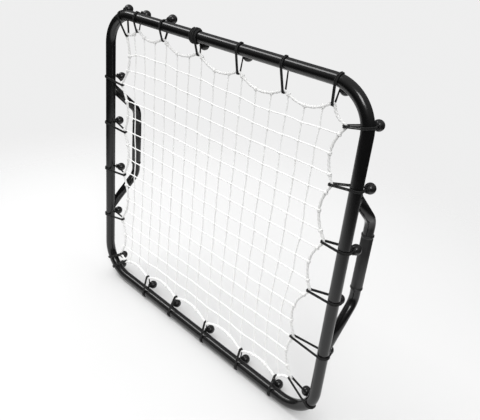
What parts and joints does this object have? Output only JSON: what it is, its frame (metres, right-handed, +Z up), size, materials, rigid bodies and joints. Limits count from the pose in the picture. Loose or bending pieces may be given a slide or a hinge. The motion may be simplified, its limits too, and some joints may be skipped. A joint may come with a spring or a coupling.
{
  "type": "pitch back rebounder",
  "caption": "Square bent-steel frame with a knotted net hung on elastic ball loops and two rear handles; throws a ball back.",
  "frame": {"origin": "midway between the middles of the two hand grips, which is straight behind the centre of the net", "axes": "+X to the right seen from the front, +Y from the front of the net to the rear where the handles are, +Z up"},
  "size_m": [1.0211, 0.1495, 1.0208],
  "materials": {
    "black_paint": "gloss black powder coat",
    "grip_rubber": "satin black rubber sleeve",
    "black_elastic": "braided black sheath on elastic cord",
    "black_plastic": "moulded gloss black",
    "white_twine": "knotted white braided twine"
  },
  "bodies": {
    "frame": {"frame_tube": "black_paint", "handle_left": "black_paint", "handle_right": "black_paint", "grip_left": "grip_rubber", "grip_right": "grip_rubber", "bungee_turns": "black_elastic", "bungee_cord_01": "black_elastic", "bungee_cord_02": "black_elastic", "bungee_cord_03": "black_elastic", "bungee_cord_04": "black_elastic", "bungee_cord_05": "black_elastic", "bungee_cord_06": "black_elastic", "bungee_cord_07": "black_elastic", "bungee_cord_08": "black_elastic", "bungee_cord_09": "black_elastic", "bungee_cord_10": "black_elastic", "bungee_cord_11": "black_elastic", "bungee_cord_12": "black_elastic", "bungee_cord_13": "black_elastic", "bungee_cord_14": "black_elastic", "bungee_cord_15": "black_elastic", "bungee_cord_16": "black_elastic", "bungee_cord_17": "black_elastic", "bungee_cord_18": "black_elastic", "bungee_cord_19": "black_elastic", "bungee_cord_20": "black_elastic", "bungee_cord_21": "black_elastic", "bungee_cord_22": "black_elastic", "bungee_cord_23": "black_elastic", "bungee_cord_24": "black_elastic", "bungee_ball_01": "black_plastic", "bungee_ball_02": "black_plastic", "bungee_ball_03": "black_plastic", "bungee_ball_04": "black_plastic", "bungee_ball_05": "black_plastic", "bungee_ball_06": "black_plastic", "bungee_ball_07": "black_plastic", "bungee_ball_08": "black_plastic", "bungee_ball_09": "black_plastic", "bungee_ball_10": "black_plastic", "bungee_ball_11": "black_plastic", "bungee_ball_12": "black_plastic", "bungee_ball_13": "black_plastic", "bungee_ball_14": "black_plastic", "bungee_ball_15": "black_plastic", "bungee_ball_16": "black_plastic", "bungee_ball_17": "black_plastic", "bungee_ball_18": "black_plastic", "bungee_ball_19": "black_plastic", "bungee_ball_20": "black_plastic", "bungee_ball_21": "black_plastic", "bungee_ball_22": "black_plastic", "bungee_ball_23": "black_plastic", "bungee_ball_24": "black_plastic"},
    "net": {"net": "white_twine", "net_border": "white_twine"}
  },
  "joints": [
    {"name": "net_rebound", "type": "slide", "parent": "frame", "child": "net", "axis": [0, 1, 0], "range_m": [-0.03, 0.06], "stiffness_N_per_m": 2500, "deforming": ["bungee_cord_01", "bungee_cord_02", "bungee_cord_03", "bungee_cord_04", "bungee_cord_05", "bungee_cord_06", "bungee_cord_07", "bungee_cord_08", "bungee_cord_09", "bungee_cord_10", "bungee_cord_11", "bungee_cord_12", "bungee_cord_13", "bungee_cord_14", "bungee_cord_15", "bungee_cord_16", "bungee_cord_17", "bungee_cord_18", "bungee_cord_19", "bungee_cord_20", "bungee_cord_21", "bungee_cord_22", "bungee_cord_23", "bungee_cord_24"]}
  ]
}
